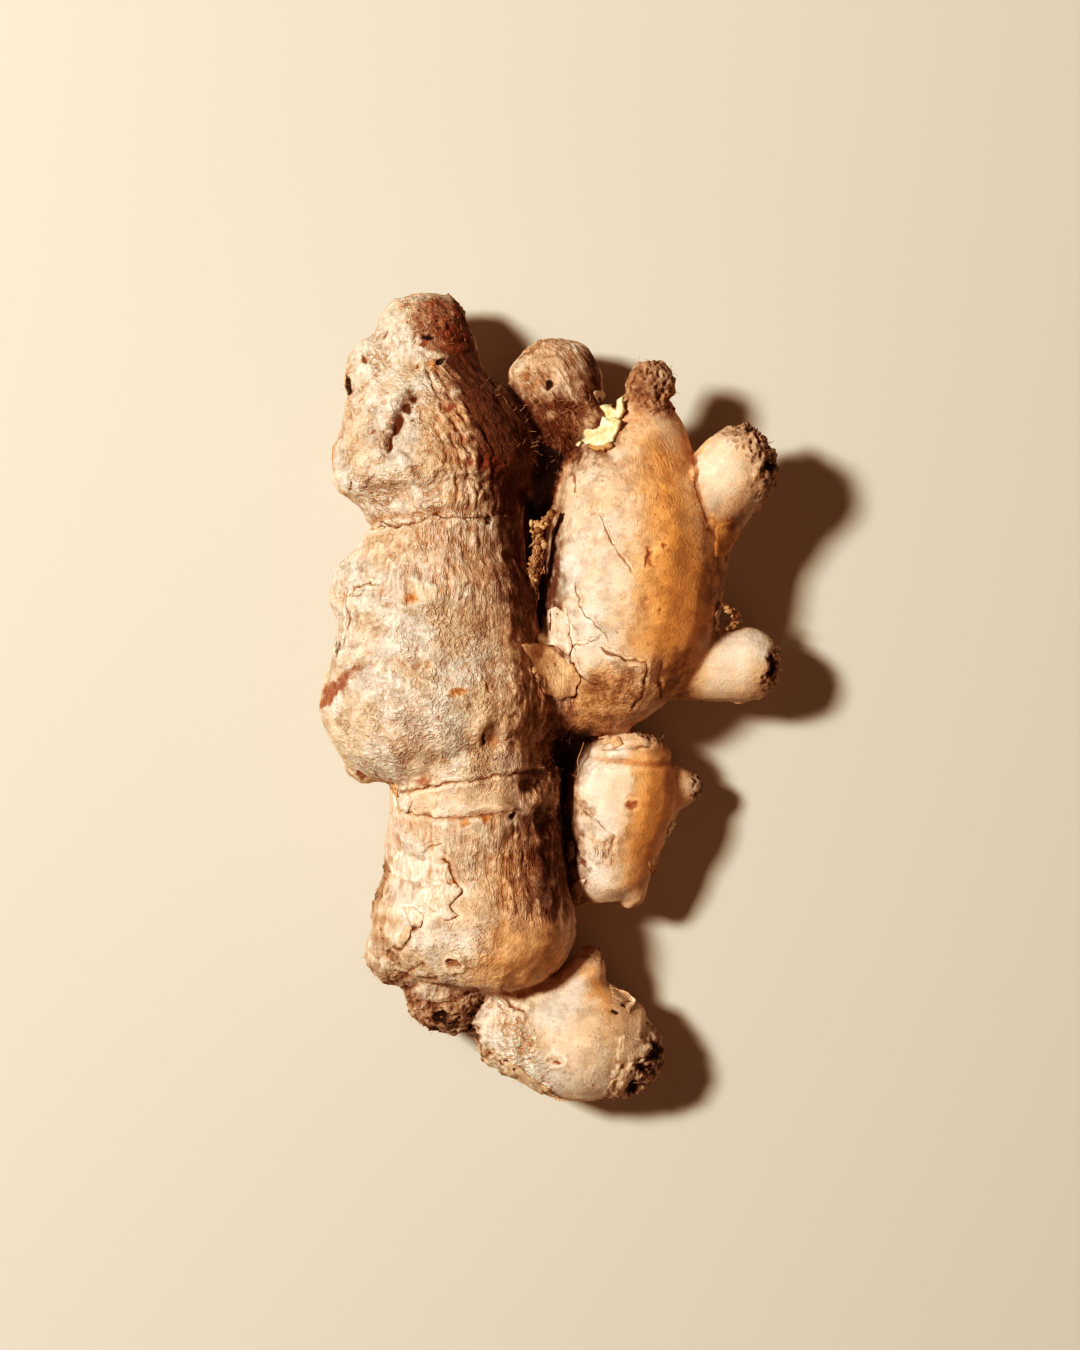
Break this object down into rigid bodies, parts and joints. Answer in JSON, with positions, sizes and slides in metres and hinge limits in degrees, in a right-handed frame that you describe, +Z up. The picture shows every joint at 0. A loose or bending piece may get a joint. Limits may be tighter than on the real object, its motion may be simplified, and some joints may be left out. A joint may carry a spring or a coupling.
{
  "type": "ginger root",
  "caption": "Fresh ginger root lying flat: one knobbly rhizome with a thick jointed trunk and blunt side fingers.",
  "frame": {"origin": "on the surface that the root lies on, under the middle of its bounding box", "axes": "+Z up from the surface, +Y along the trunk towards the crown, +X towards the side fingers"},
  "size_m": [0.0928, 0.1632, 0.0399],
  "materials": {
    "skin": "matt, dry, pale tan skin with fine wrinkles, papery flakes and dark corky scars"
  },
  "bodies": {
    "root": {"rhizome": "skin"}
  },
  "joints": []
}
